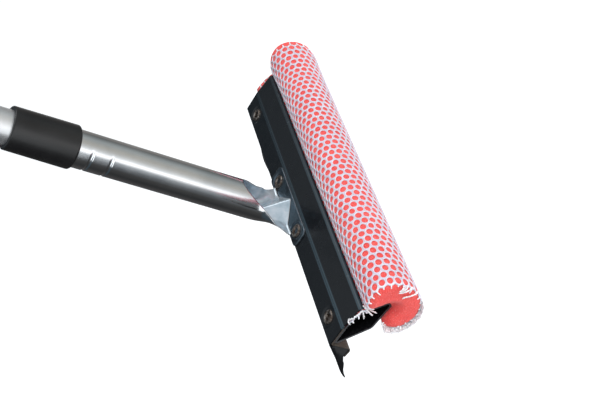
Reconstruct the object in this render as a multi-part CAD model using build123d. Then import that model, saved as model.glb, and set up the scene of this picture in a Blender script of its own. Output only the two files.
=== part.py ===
from build123d import *
import math
import os

# Window squeegee on a telescoping pole: a 205 mm head with a rubber blade on one side
# and a netted sponge roll on the other. All lengths in millimetres.
#
# Row frame: origin at the centre of the hanging hole in the end cap, +Z up the handle,
# +X along the head, +Y from the rubber blade towards the sponge.
# Head frame: the same axes, with w across the head from the plate's front edge and n
# up from the top of the plate's flange. The neck's axis is at w = NECK_W.

# --- overall layout ---
FLANGE_Z = -612.0          # top of the plate's flange, from the hanging hole
NECK_W = 1.9               # neck axis, from the plate's front edge
PLATE_HALF = 102.5         # half the length of the pressed plates
SPONGE_HALF = 108.5        # half the length of the sponge roll

# --- pressed plate ---
PLATE_T = 0.8
FLANGE_W = 13.0            # flat flange that carries the neck's foot
FACE_W = 27.0              # far edge of the sloping face
FACE_DROP = 1.6
LIP = (28.0, -3.6)         # end of the lip that bears on the sponge
JAW_ANGLE = 228.5          # direction of the blade, degrees in the (w, n) plane
JAW_LENGTH = 12.0

# --- blade holder ---
HOLDER_T = 0.7
HOLDER_WALL_W = 0.75
HOLDER_BOTTOM = -13.3
HOLDER_TOE = (-5.2, -12.6)

# --- rubber blade, measured along (t) and square to (s) the blade's direction ---
BLADE_REACH = 28.6
BLADE_TIP_T = 0.5

# --- hollow bar that carries the sponge ---
BAR_WALL = 1.0
BAR_FAR = -108.0
BAR_NEAR = 102.3
BAR_TOP = -1.65
BAR_TAB_FAR = -102.4       # past the plate's far end only the nose side of the bar goes on
BAR_TAB_W = 19.2

# --- sponge roll and its net sleeve ---
SPONGE_W = 38.2
SPONGE_N = -13.75
SPONGE_A = 16.2            # half the long axis of the oval
SPONGE_B = 13.0            # half the short axis
SPONGE_TILT = 63.0
SPONGE_EDGE = 3.0
SLIT_GAP = 0.15
NET_T = 0.6
NET_FAR = -105.4
NET_NEAR = 105.4

# --- rivets ---
RIVET_W = 5.8
END_RIVET_X = 88.1
FOOT_RIVET_X = 21.7
RIVET_HEAD_R = 4.0
RIVET_HEAD_H = 0.7
RIVET_SHANK_R = 1.9
RIVET_TAIL_R = 2.2
RIVET_TAIL_H = 0.5
RIVET_BORE_R = 1.45         # the hollow down the rivet's middle
RIVET_BORE_DEPTH = 1.6
RIVET_ROLL = 0.6           # width of the head's rounded rim
DIMPLE_DEPTH = 0.35
DIMPLE_R_LOW = 4.7
DIMPLE_R_HIGH = 6.2

# --- neck tube ---
NECK_R = 10.2
NECK_WALL = 0.5
NECK_END = 160.0           # rear end, inside the collar
SCOOP_APEX = 33.0          # where the scoop's cut starts on the sponge side
SCOOP_SLOPE = 0.44
OPEN_START = 22.0          # below this the wall opens out and flattens
FOOT_T = 1.1
FOOT_HALF = 29.7
FOOT_BACK_W = -0.15
FOOT_FRONT_W = 12.1
OPEN_SECTIONS = [           # the opened wall: height, blade-side w, bend radius, half width
    (15.0, -6.4, 12.6, 18.6),
    (8.0, -2.4, 36.0, 16.8),
    (0.55, 0.25, 400.0, 17.2),
]
FOOT_CORNER_BACK = 4.0
FOOT_CORNER_FRONT = 3.0
GUSSET_SINK = 0.4          # how far the gusset's edges lie inside the wall
GUSSET_T = 0.9
GUSSET_N = 13.5
GUSSET_W = 11.0
GUSSET_HALF = 10.0
CRIMP_AT = (110.0, 120.8)
CRIMP_DEPTH = 0.4
CRIMP_R = 0.8
CRIMP_BACKING = 0.5        # wall left behind a crimp
CRIMP_BIAS = 0.92          # share of the depth that is on the deepest side
CRIMP_DIRECTION = -57.0    # deepest side, degrees from +X

# --- collar and guide bush ---
COLLAR_FRONT = 128.0
COLLAR_REAR = 163.5
COLLAR_FRONT_R = 11.8
COLLAR_REAR_R = 11.4
COLLAR_EDGE = 1.4
BUSH_FRONT = 111.9
BUSH_REAR = 118.9

# --- pole and the twist lock in its front end ---
POLE_R = 9.2
POLE_WALL = 1.0
POLE_FRONT = 109.4
POLE_REAR = 604.0
RUNNING = 0.06             # radial clearance of a running fit
RING_FRONT = 98.2
RING_LENGTH = 10.0
RING_R = 9.62
JOURNAL_R = 6.5
LOBE_R = 7.6
LOBE_HALF_DEG = 12.0
TWIST_DEG = 120.0
RING_SLOT = 2.0
RING_SLOT_DEG = 150.0
LOCK_PLAY = 0.2            # end play of the ring on its journal
POCKET_WALL = 0.8
POCKET_MARGIN_DEG = 2.0
WASHER_T = 0.8
WASHER_R = 8.6
SCREW_HEAD_R = 3.6
SCREW_HEAD_H = 2.2
SCREW_HEAD_EDGE = 1.0
SCREW_CROSS = (4.4, 0.9, 2.4)
SCREW_R = 1.9
SCREW_LENGTH = 9.0
PLUG_LENGTH = 15.0
PIN_R = 1.25
PIN_AT = 115.5

# --- grip and end cap ---
GRIP_FRONT = 478.0
GRIP_REAR = 596.0
GRIP_R = 12.2
GRIP_GROOVE_R = 1.0
GRIP_GROOVES = 9
CAP_TOP = 13.0             # above the hanging hole
CAP_TAB_T = 11.0
HOLE_R = 4.0
CAP_PLUG_LENGTH = 14.0


def in_head(w, n):
    """A head-frame (w, n) point as (y, z) of the neck-centred frame."""
    return (w - NECK_W, n)


def placed(shape):
    """Moves a shape from the head's height to its place in the row frame."""
    return Pos(0, 0, FLANGE_Z) * shape


def along_head(face, x_from, x_to):
    """Extrudes a (w, n) outline along the head."""
    return extrude(Plane.YZ.offset(x_from) * face, x_to - x_from)


def outline(points, radii):
    """A closed face with one corner radius per point."""
    return make_face(FilletPolyline([in_head(w, n) for w, n in points], radius=radii, close=True))


def folded_sheet(points, radii, thickness):
    """The section of a sheet folded along a centre line."""
    centre = FilletPolyline([in_head(w, n) for w, n in points], radius=radii)
    return trace(centre, thickness)


def blade_point(t, s):
    """A point t along the blade's direction and s outwards from its upper face."""
    angle = math.radians(JAW_ANGLE)
    return (t * math.cos(angle) + s * math.sin(angle), t * math.sin(angle) - s * math.cos(angle))


def standing(radius, n_from, n_to):
    """A round bar along the handle's axis."""
    bar = Cylinder(radius, n_to - n_from, align=(Align.CENTER, Align.CENTER, Align.MIN))
    return Pos(0, 0, n_from) * bar


def sleeve(outer, inner, n_from, n_to):
    """A round sleeve along the handle's axis."""
    return standing(outer, n_from, n_to) - standing(inner, n_from - 1, n_to + 1)


def sector(radius, n_from, n_to, deg_from, deg_to):
    """A pie slice of a round bar."""
    start = (radius * math.cos(math.radians(deg_from)), radius * math.sin(math.radians(deg_from)))
    end = (radius * math.cos(math.radians(deg_to)), radius * math.sin(math.radians(deg_to)))
    middle_deg = (deg_from + deg_to) / 2
    middle = (radius * math.cos(math.radians(middle_deg)), radius * math.sin(math.radians(middle_deg)))
    edge = Polyline(end, (0, 0), start) + ThreePointArc(start, middle, end)
    return extrude(Pos(0, 0, n_from) * make_face(edge), n_to - n_from)


def rivet_places(x):
    """The place of a rivet's axis at the top of the flange."""
    return Pos(x, RIVET_W - NECK_W, 0)


def dimple(x, top):
    """The shallow dish that a rivet's head sits in."""
    cone = Cone(DIMPLE_R_LOW, DIMPLE_R_HIGH, DIMPLE_DEPTH, align=(Align.CENTER, Align.CENTER, Align.MIN))
    return rivet_places(x) * Pos(0, 0, top - DIMPLE_DEPTH) * cone


def rivet_hole(x):
    """The hole for a rivet's shank through every layer."""
    return rivet_places(x) * Cylinder(RIVET_SHANK_R, 12)


def make_top_plate():
    toe = blade_point(JAW_LENGTH, -PLATE_T / 2)
    points = [
        toe,
        (0.18, -PLATE_T / 2),
        (FLANGE_W, -PLATE_T / 2),
        (FACE_W, -FACE_DROP - PLATE_T / 2),
        LIP,
    ]
    plate = along_head(folded_sheet(points, [0.9, 2.5, 1.2], PLATE_T), -PLATE_HALF, PLATE_HALF)
    for x in (-END_RIVET_X, END_RIVET_X):
        plate = plate - dimple(x, 0) - rivet_hole(x)
    for x in (-FOOT_RIVET_X, FOOT_RIVET_X):
        plate = plate - rivet_hole(x)
    return plate


def make_blade_holder():
    flange_n = -PLATE_T - HOLDER_T / 2 - 0.02
    points = [
        (FLANGE_W - 0.5, flange_n),
        (HOLDER_WALL_W, flange_n),
        (HOLDER_WALL_W, HOLDER_BOTTOM),
        HOLDER_TOE,
    ]
    holder = along_head(folded_sheet(points, [0.8, 2.0], HOLDER_T), -PLATE_HALF, PLATE_HALF)
    for x in (-END_RIVET_X, -FOOT_RIVET_X, FOOT_RIVET_X, END_RIVET_X):
        holder = holder - rivet_hole(x)
    return holder


def make_rubber_blade():
    inside = -PLATE_T - 0.05
    back_w = HOLDER_WALL_W - HOLDER_T / 2 - 0.05
    floor_n = HOLDER_BOTTOM + HOLDER_T / 2 + 0.12
    points = [
        blade_point(2.2, inside),
        (back_w, -3.6),
        (back_w, floor_n + 0.2),
        (HOLDER_TOE[0] + 0.1, HOLDER_TOE[1] + HOLDER_T / 2 + 0.08),
        blade_point(17.0, -2.9),
        blade_point(21.5, -2.4),
        blade_point(BLADE_REACH, -0.6 - BLADE_TIP_T / 2),
        blade_point(BLADE_REACH, -0.6 + BLADE_TIP_T / 2),
        blade_point(24.5, 0.2),
        blade_point(19.5, 0.35),
        blade_point(JAW_LENGTH + 0.6, 0.0),
        blade_point(JAW_LENGTH + 0.6, inside),
    ]
    radii = [0.3, 0.5, 1.8, 0.4, 3.0, 3.0, 0.15, 0.15, 3.0, 3.0, 0.3, 0.2]
    return along_head(outline(points, radii), -PLATE_HALF, PLATE_HALF)


def bar_outline():
    points = [
        (2.2, BAR_TOP),
        (FLANGE_W + 0.5, BAR_TOP),
        (20.0, -2.7),
        (25.2, -4.7),
        (35.4, -14.6),
        (33.6, -17.0),
        (17.0, -15.7),
        (2.2, -3.6),
    ]
    return outline(points, [0.5, 6.0, 6.0, 4.0, 1.4, 1.2, 4.0, 0.7])


def make_sponge_bar():
    face = bar_outline()
    bar = along_head(face, BAR_FAR, BAR_NEAR)
    hollow = along_head(offset(face, amount=-BAR_WALL, kind=Kind.INTERSECTION), BAR_FAR - 1, BAR_NEAR + 1)
    bar = bar - hollow
    big = 4 * FACE_W
    corner = Box(2 * (BAR_TAB_FAR - BAR_FAR), big, big, align=(Align.CENTER, Align.MAX, Align.CENTER))
    bar = bar - Pos(BAR_FAR, BAR_TAB_W - NECK_W, 0) * corner
    for x in (-END_RIVET_X, -FOOT_RIVET_X, FOOT_RIVET_X, END_RIVET_X):
        drill = rivet_places(x) * Pos(0, 0, BAR_TOP - BAR_WALL / 2) * Cylinder(RIVET_SHANK_R, 2 * BAR_WALL)
        bar = bar - drill
    return bar


def sponge_oval(grow):
    y, z = in_head(SPONGE_W, SPONGE_N)
    return Pos(y, z) * Rot(0, 0, SPONGE_TILT) * Ellipse(SPONGE_A + grow, SPONGE_B + grow)


def bar_slit(half_length):
    return along_head(offset(bar_outline(), amount=SLIT_GAP), -half_length, half_length)


def make_sponge_roll():
    roll = along_head(sponge_oval(0), -SPONGE_HALF, SPONGE_HALF)
    roll = fillet(roll.edges(), SPONGE_EDGE)
    return roll - bar_slit(SPONGE_HALF + 5)


def make_sponge_net():
    outer = along_head(sponge_oval(NET_T), NET_FAR, NET_NEAR)
    inner = along_head(sponge_oval(0), NET_FAR - 1, NET_NEAR + 1)
    return outer - inner - bar_slit(SPONGE_HALF + 5)


def make_rivet(x, top):
    """A semi-tubular rivet whose head sits in the dimple and whose tail is inside the bar."""
    seat = top - DIMPLE_DEPTH
    tail = BAR_TOP - BAR_WALL - 0.02
    crown = seat + RIVET_HEAD_H
    profile = [
        (0, tail - RIVET_TAIL_H),
        (RIVET_TAIL_R, tail - RIVET_TAIL_H),
        (RIVET_TAIL_R, tail),
        (RIVET_SHANK_R, tail),
        (RIVET_SHANK_R, seat),
        (RIVET_HEAD_R, seat),
        (RIVET_HEAD_R - RIVET_ROLL / 3, seat + RIVET_HEAD_H / 2),
        (RIVET_HEAD_R - RIVET_ROLL, crown),
        (RIVET_BORE_R + 2 * RIVET_ROLL, crown),
        (RIVET_BORE_R + RIVET_ROLL / 2, crown - RIVET_HEAD_H / 2),
        (RIVET_BORE_R, seat - RIVET_HEAD_H / 2),
        (RIVET_BORE_R, crown - RIVET_BORE_DEPTH),
        (0, crown - RIVET_BORE_DEPTH),
    ]
    solid = revolve(make_face(Plane.XZ * Polyline(*profile, close=True)), Axis.Z)
    return rivet_places(x) * solid


def wall_strip(n, bottom_w, radius, half_length):
    """The section of the neck's opened wall at height n: an arc strip about the blade side."""
    angle = half_length / radius
    centre = bottom_w + radius - NECK_W
    half_wall = NECK_WALL / 2 + 0.1

    def on_arc(r, a):
        return (r * math.sin(a), centre - r * math.cos(a))

    outer = radius + half_wall
    inner = radius - half_wall
    edge = ThreePointArc(on_arc(outer, -angle), on_arc(outer, 0), on_arc(outer, angle))
    edge = edge + Line(on_arc(outer, angle), on_arc(inner, angle))
    edge = edge + ThreePointArc(on_arc(inner, angle), on_arc(inner, 0), on_arc(inner, -angle))
    edge = edge + Line(on_arc(inner, -angle), on_arc(outer, -angle))
    return Pos(0, 0, n) * make_face(edge)


def crimp_torus(n, minor):
    """A ring set off the neck's axis, so that it bites only on one side."""
    reach = CRIMP_DEPTH * CRIMP_BIAS
    angle = math.radians(CRIMP_DIRECTION)
    major = NECK_R - CRIMP_DEPTH * (1 - CRIMP_BIAS) + CRIMP_R
    return Pos(-reach * math.cos(angle), -reach * math.sin(angle), n) * Torus(major, minor)


def gusset(shift):
    """The pressed corner between the neck's flattened wall and its foot."""
    wall_y = FOOT_BACK_W - NECK_W + GUSSET_SINK - shift
    floor_n = FOOT_T - shift
    tip_y = GUSSET_W - NECK_W - shift
    points = [
        (0, wall_y, GUSSET_N - shift),
        (0, tip_y, floor_n),
        (-GUSSET_HALF, wall_y, floor_n),
        (GUSSET_HALF, wall_y, floor_n),
    ]
    faces = []
    for corner in ((0, 1, 2), (0, 1, 3), (0, 2, 3), (1, 2, 3)):
        faces.append(Face(Wire.make_polygon([points[i] for i in corner], close=True)))
    return Solid(Shell(faces))


def make_neck_tube():
    tube = sleeve(NECK_R, NECK_R - NECK_WALL, OPEN_START, NECK_END)
    apex_y = NECK_R
    cut_side = [
        (apex_y - SCOOP_SLOPE * (SCOOP_APEX - OPEN_START), OPEN_START),
        (apex_y, SCOOP_APEX),
        (apex_y + 8, SCOOP_APEX),
        (apex_y + 8, OPEN_START - 1),
        (apex_y - SCOOP_SLOPE * (SCOOP_APEX - OPEN_START), OPEN_START - 1),
    ]
    side_face = make_face(Polyline(*cut_side, close=True))
    tube = tube - extrude(Plane.YZ.offset(-NECK_R - 1) * side_face, 2 * NECK_R + 2)

    middle_r = NECK_R - NECK_WALL / 2
    edge_y = apex_y - SCOOP_SLOPE * (SCOOP_APEX - OPEN_START)
    open_angle = math.acos(-edge_y / middle_r)
    sections = [wall_strip(OPEN_START + 0.2, NECK_W - middle_r, middle_r, middle_r * open_angle)]
    sections += [wall_strip(*section) for section in OPEN_SECTIONS]
    wall = loft(sections)

    foot_points = [
        (-FOOT_HALF, FOOT_BACK_W - NECK_W),
        (FOOT_HALF, FOOT_BACK_W - NECK_W),
        (FOOT_HALF, FOOT_FRONT_W - NECK_W),
        (-FOOT_HALF, FOOT_FRONT_W - NECK_W),
    ]
    corners = [FOOT_CORNER_BACK] * 2 + [FOOT_CORNER_FRONT] * 2
    foot = extrude(make_face(FilletPolyline(*foot_points, radius=corners, close=True)), FOOT_T)
    neck = tube + wall + foot + gusset(0)
    below_flange = Pos(0, 0, -FOOT_HALF) * Box(4 * FOOT_HALF, 4 * FOOT_HALF, 2 * FOOT_HALF)
    neck = neck - gusset(GUSSET_T) - below_flange
    for x in (-FOOT_RIVET_X, FOOT_RIVET_X):
        neck = neck - dimple(x, FOOT_T) - rivet_hole(x)
    bead_zone = standing(NECK_R - NECK_WALL / 2, OPEN_START, NECK_END)
    for n in CRIMP_AT:
        neck = neck + (crimp_torus(n, CRIMP_R + CRIMP_BACKING) & bead_zone)
        neck = neck - crimp_torus(n, CRIMP_R)
    return neck


def make_guide_bush():
    return sleeve(NECK_R - NECK_WALL - 0.02, POLE_R + RUNNING, BUSH_FRONT, BUSH_REAR)


def make_collar():
    profile = [
        (NECK_R, COLLAR_FRONT),
        (COLLAR_FRONT_R, COLLAR_FRONT),
        (COLLAR_REAR_R, COLLAR_REAR),
        (POLE_R + 2 * RUNNING, COLLAR_REAR),
        (POLE_R + 2 * RUNNING, NECK_END + 0.15),
        (NECK_R, NECK_END + 0.15),
    ]
    radii = [0.3, COLLAR_EDGE, COLLAR_EDGE / 2, 0.2, 0.1, 0.1]
    return revolve(make_face(Plane.XZ * FilletPolyline(*profile, radius=radii, close=True)), Axis.Z)


def make_pole_tube():
    tube = sleeve(POLE_R, POLE_R - POLE_WALL, POLE_FRONT, POLE_REAR)
    return tube - Pos(0, 0, PIN_AT) * Rot(0, 90, 0) * Cylinder(PIN_R, 3 * POLE_R)


def make_lock_core():
    ring_rear = RING_FRONT + RING_LENGTH
    journal_front = RING_FRONT - LOCK_PLAY
    journal_rear = ring_rear + LOCK_PLAY
    lobe_front = RING_FRONT + POCKET_WALL + LOCK_PLAY
    core = standing(JOURNAL_R, journal_front, journal_rear)
    core = core + sector(LOBE_R, lobe_front, journal_rear, -LOBE_HALF_DEG, LOBE_HALF_DEG)
    core = core + standing(POLE_R - RUNNING, journal_rear, POLE_FRONT)
    core = core + standing(POLE_R - POLE_WALL - 0.02, POLE_FRONT, POLE_FRONT + PLUG_LENGTH)
    core = core - standing(SCREW_R, journal_front - 1, journal_front + SCREW_LENGTH)
    return core - Pos(0, 0, PIN_AT) * Rot(0, 90, 0) * Cylinder(PIN_R, 3 * POLE_R)


def make_core_pin():
    pin = Rot(0, 90, 0) * Cylinder(PIN_R, 2 * (POLE_R - 0.15))
    return Pos(0, 0, PIN_AT) * pin


def make_lock_ring():
    """A split ring whose inner pocket lets the core's lobe travel through the lock's twist."""
    ring = sleeve(RING_R, JOURNAL_R + RUNNING, RING_FRONT, RING_FRONT + RING_LENGTH)
    pocket_front = RING_FRONT + POCKET_WALL
    pocket_rear = RING_FRONT + RING_LENGTH + 1
    low = -TWIST_DEG - LOBE_HALF_DEG - POCKET_MARGIN_DEG
    high = LOBE_HALF_DEG + POCKET_MARGIN_DEG
    pocket = sector(LOBE_R + 0.15, pocket_front, pocket_rear, low, high)
    cutter = Pos(RING_R, 0, RING_FRONT + RING_LENGTH / 2) * Box(RING_R, RING_SLOT, 2 * RING_LENGTH)
    return ring - pocket - Rot(0, 0, RING_SLOT_DEG) * cutter


def make_lock_washer():
    front = RING_FRONT - LOCK_PLAY - WASHER_T
    return sleeve(WASHER_R, SCREW_R, front, front + WASHER_T)


def make_lock_screw():
    head_rear = RING_FRONT - LOCK_PLAY - WASHER_T
    head = standing(SCREW_HEAD_R, head_rear - SCREW_HEAD_H, head_rear)
    head = fillet(head.edges().sort_by(Axis.Z)[0], SCREW_HEAD_EDGE)
    for turn in (0, 90):
        slot = Pos(0, 0, head_rear - SCREW_HEAD_H) * Rot(0, 0, turn) * Box(*SCREW_CROSS)
        head = head - slot
    return head + standing(SCREW_R, head_rear, head_rear + SCREW_LENGTH - 1)


def make_grip():
    profile = [
        (POLE_R, GRIP_FRONT),
        (GRIP_R - 1.2, GRIP_FRONT),
        (GRIP_R, GRIP_FRONT + 5),
        (GRIP_R, GRIP_REAR),
        (POLE_R, GRIP_REAR),
    ]
    face = make_face(Plane.XZ * FilletPolyline(*profile, radius=[0.2, 1.0, 4.0, 0.6, 0.2], close=True))
    grip = revolve(face, Axis.Z)
    pitch = (GRIP_REAR - GRIP_FRONT) / (GRIP_GROOVES + 1)
    for i in range(GRIP_GROOVES):
        n = GRIP_FRONT + (i + 1) * pitch
        grip = grip - Pos(0, 0, n) * Torus(GRIP_R + 0.5, GRIP_GROOVE_R)
    return grip


def make_end_cap():
    top = -FLANGE_Z + CAP_TOP
    body = standing(GRIP_R, GRIP_REAR + 0.1, top)
    body = fillet(body.edges().sort_by(Axis.Z)[-1], 6.0)
    for side in (-1, 1):
        flat = Pos(0, side * (CAP_TAB_T / 2 + GRIP_R), top) * Box(40, 2 * GRIP_R, 2 * (top - GRIP_REAR - 6))
        body = body - flat
    plug = standing(POLE_R - POLE_WALL - 0.02, GRIP_REAR - CAP_PLUG_LENGTH, GRIP_REAR + 2)
    recess = sleeve(POLE_R, POLE_R - POLE_WALL - 0.02, GRIP_REAR - 1, POLE_REAR)
    hole = Pos(0, 0, -FLANGE_Z) * Rot(90, 0, 0) * Cylinder(HOLE_R, 4 * GRIP_R)
    return body + plug - recess - hole


def build_parts():
    parts = {
        "top_plate": make_top_plate(),
        "blade_holder": make_blade_holder(),
        "rubber_blade": make_rubber_blade(),
        "sponge_bar": make_sponge_bar(),
        "sponge_roll": make_sponge_roll(),
        "sponge_net": make_sponge_net(),
        "neck_tube": make_neck_tube(),
        "guide_bush": make_guide_bush(),
        "collar": make_collar(),
        "pole_tube": make_pole_tube(),
        "lock_core": make_lock_core(),
        "core_pin": make_core_pin(),
        "lock_ring": make_lock_ring(),
        "lock_washer": make_lock_washer(),
        "lock_screw": make_lock_screw(),
        "grip": make_grip(),
        "end_cap": make_end_cap(),
    }
    for side, sign in (("far", -1), ("near", 1)):
        parts["end_rivet_" + side] = make_rivet(sign * END_RIVET_X, 0)
        parts["foot_rivet_" + side] = make_rivet(sign * FOOT_RIVET_X, FOOT_T)
    return parts


os.makedirs("parts", exist_ok=True)
for name, shape in build_parts().items():
    export_step(placed(shape), "parts/" + name + ".step")
    print(name, round(shape.volume, 1))
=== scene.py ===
import math
import random

import bmesh
import bpy
import numpy as np
from mathutils import Matrix, Vector
from mathutils.bvhtree import BVHTree


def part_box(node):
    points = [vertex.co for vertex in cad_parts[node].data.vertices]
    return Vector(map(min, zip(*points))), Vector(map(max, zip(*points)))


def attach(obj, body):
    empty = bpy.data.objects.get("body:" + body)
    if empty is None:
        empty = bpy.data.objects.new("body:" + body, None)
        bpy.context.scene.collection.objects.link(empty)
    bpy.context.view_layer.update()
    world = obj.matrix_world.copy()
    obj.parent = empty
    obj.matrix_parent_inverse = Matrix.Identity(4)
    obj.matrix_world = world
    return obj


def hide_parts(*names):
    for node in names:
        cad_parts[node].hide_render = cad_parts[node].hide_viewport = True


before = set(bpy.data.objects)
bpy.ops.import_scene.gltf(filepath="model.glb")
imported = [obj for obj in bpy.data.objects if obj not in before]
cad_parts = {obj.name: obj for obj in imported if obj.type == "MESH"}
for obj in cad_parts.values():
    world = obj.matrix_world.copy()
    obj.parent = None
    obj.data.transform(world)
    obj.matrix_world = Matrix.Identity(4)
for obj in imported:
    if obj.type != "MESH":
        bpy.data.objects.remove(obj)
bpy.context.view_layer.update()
MM = 0.001

# Head frame in millimetres: x along the head, w across it from the plate's front edge,
# n up from the top of the plate's flange. The neck's axis is at w = NECK_W.
NECK_W = 1.9
FLANGE_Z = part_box("neck_tube")[0].z

# --- camera and stage ---
LENS_MM = 68.657
SENSOR_MM = 36.0
CAMERA_OFFSET = (0.48222, 0.31736, 0.31453)   # from the neck's axis at the flange
CAMERA_HEADING = -147.36
CAMERA_PITCH = -29.45
CAMERA_ROLL = -72.90
FLOOR_DROP = 0.55

# --- plate ---
BEND_HIGHLIGHTS = ((13.0, 1.5), (27.0, 1.1))     # where the face bends, and how wide the painted highlight band on each bend is
# distance either side of the middle over which the painted bend highlights grow from a quarter at the far
# end to full at the near end
PLATE_SPAN = 0.1
BAR_CUT_X = 102.25         # the bar's sawn near end; past it the bar is painted lighter grey as a rim highlight

# --- sponge and net ---
SPONGE_W = 38.2
SPONGE_N = -13.75
SPONGE_TILT = 63.0
FOAM_EDGE = 3.0
NET_PITCH = 4.2
NET_ROW = 4.46
ROW_SHIFT = (0.7, 1.7)     # first hole's place in even and odd rows, in half pitches
CAD_NET_T = 0.6
YARN_H = 0.50
YARN_HALF = 0.50
HOLE_HALF_S = 1.60
HOLE_HALF_X = 1.92
NET_PAST_EDGE = 2.2        # how far the last holes' centres go round the foam's rounded near edge
SWELL_FROM = 70.0          # the roll is a little fuller and longer towards its far end
SWELL_OUT = 0.9
SWELL_LONG = 1.6
LOBE_OUT = 1.5             # past the bar's sawn end the foam closes in under it
HEM_THIN = 0.3
HEM_FULL = 1.6
HEM_FROM_S = 66.0          # the gathered hem at the near end, round the section
HEM_YARNS = 120
HEM_X = (98.5, 109.2)
HEM_BINDING_R = 0.34       # the few yarns that run round the hem
DISH_DEPTH = 6.0           # the foam's near face is dished round the bar
DISH_WIDTH = 8.5
DISH_UNDER = 0.25          # share of the dish left under the bar
FLAP_FAR = -102.0
FLAP_NEAR = 102.0
TONGUE_FAR = -106.4
TONGUE_NEAR = 101.4
FLAP_LINE = [(13.3, -1.15), (17.0, -1.6), (21.0, -2.3), (24.6, -3.4), (27.3, -4.6)]
OVAL_SPAN = (76, -233)     # where the net meets and leaves the oval, in degrees
WAVE_X = (0.35, 3)         # the net's slow waves along and round the roll: size and seed
WAVE_S = (0.30, 5)
HOLE_VARY = (0.92, 1.06)
HOLE_LEAN = 0.12
RIM_H = 0.10               # height of a hole's rim over the foam
EDGE_H = 0.08
JOINT_SHARE = 0.72         # height between two plies, as a share of the yarn's
LOOSE_YARN_R = 0.36
LOBE_X = (97.0, 105.0)     # where the foam closes in under the bar's sawn end
LOBE_N = (14.0, 17.0)
LOBE_W = (-32.0, -26.0)
VOXEL = 0.85
SOFT_LENGTH = 20.0         # the near length of foam that the dish draws back
PUFF = 0.30                # foam height in the holes, and how far the yarns press it in
PRESS = 0.12
PUFF_HALF = (1.55, 1.9)
COVER_GAP = 2.6            # foam nearer than this to the net's path lies under the net


def row_point(x, w, n):
    """A head-frame point, in millimetres, as a row-frame point in metres."""
    return Vector((x * MM, (w - NECK_W) * MM, FLANGE_Z + n * MM))


def node_span(name):
    """A node's lowest and highest (x, w, n) in millimetres."""
    lo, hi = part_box(name)
    low = (lo.x / MM, lo.y / MM + NECK_W, (lo.z - FLANGE_Z) / MM)
    high = (hi.x / MM, hi.y / MM + NECK_W, (hi.z - FLANGE_Z) / MM)
    return low, high


# ---------------------------------------------------------------- materials

class Graph:
    """A node tree under construction, with short calls for the usual nodes."""

    def __init__(self, tree):
        self.nodes, self.links = tree.nodes, tree.links

    def add(self, kind, inputs=(), **settings):
        node = self.nodes.new(kind)
        for key, value in settings.items():
            setattr(node, key, value)
        for key, value in dict(inputs).items():
            if isinstance(value, bpy.types.NodeSocket):
                self.links.new(value, node.inputs[key])
            else:
                node.inputs[key].default_value = value
        return node

    def ramp(self, factor, stops):
        node = self.add("ShaderNodeValToRGB", {"Fac": factor})
        elements = node.color_ramp.elements
        while len(elements) < len(stops):
            elements.new(0.5)
        for element, (position, colour) in zip(elements, stops):
            element.position = position
            element.color = (*colour, 1) if len(colour) == 3 else colour
        return node.outputs["Color"]

    def span(self, factor, low, high, from_low=0.3, from_high=0.7):
        inputs = {"Value": factor, "From Min": from_low, "From Max": from_high,
                  "To Min": low, "To Max": high}
        return self.add("ShaderNodeMapRange", inputs).outputs["Result"]

    def maths(self, operation, a, b=0.0):
        return self.add("ShaderNodeMath", {0: a, 1: b}, operation=operation).outputs[0]

    def mix(self, factor, a, b):
        node = self.add("ShaderNodeMix", data_type="RGBA")
        for socket, value in ((node.inputs["Factor"], factor), (node.inputs["A"], a), (node.inputs["B"], b)):
            if isinstance(value, bpy.types.NodeSocket):
                self.links.new(value, socket)
            else:
                socket.default_value = value if isinstance(value, float) else (*value, 1)
        return [out for out in node.outputs if out.type == "RGBA"][0]


class Shader(Graph):
    """A material's graph, in object coordinates."""

    def __init__(self, name):
        self.material = bpy.data.materials.new(name)
        self.material.use_nodes = True
        super().__init__(self.material.node_tree)
        self.bsdf = self.nodes["Principled BSDF"]
        self.coords = self.nodes.new("ShaderNodeTexCoord").outputs["Object"]

    def stretched(self, scale):
        """Object coordinates scaled unevenly, for brushed or drawn grain."""
        node = self.add("ShaderNodeMapping", {"Vector": self.coords, "Scale": scale})
        return node.outputs["Vector"]

    def noise(self, scale, detail=3.0, rough=0.55, vector=None):
        inputs = {"Vector": vector or self.coords, "Scale": scale, "Detail": detail, "Roughness": rough}
        return self.add("ShaderNodeTexNoise", inputs).outputs["Fac"]

    def cells(self, scale):
        inputs = {"Vector": self.coords, "Scale": scale}
        return self.add("ShaderNodeTexVoronoi", inputs).outputs["Distance"]

    def bump(self, height, distance, strength, normal=None):
        inputs = {"Height": height, "Distance": distance, "Strength": strength}
        if normal is not None:
            inputs["Normal"] = normal
        return self.add("ShaderNodeBump", inputs).outputs["Normal"]

    def edge_wear_and_painted_light(self, low, high):
        """1 on outer edges, 0 on flats; used for bright bare edges, for painted highlights on edges and
        crests, and for painted shade in the yarn's hollows.
        """
        point = self.nodes.new("ShaderNodeNewGeometry").outputs["Pointiness"]
        return self.span(point, 0.0, 1.0, low, high)

    def finish(self, **sockets):
        """Sets the surface shader's sockets; underscores stand for spaces."""
        for key, value in sockets.items():
            socket = self.bsdf.inputs[key.replace("_", " ")]
            if isinstance(value, bpy.types.NodeSocket):
                self.links.new(value, socket)
            elif isinstance(value, tuple):
                socket.default_value = (*value, 1) if len(value) == 3 and socket.type == "RGBA" else value
            else:
                socket.default_value = value
        return self.material


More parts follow.
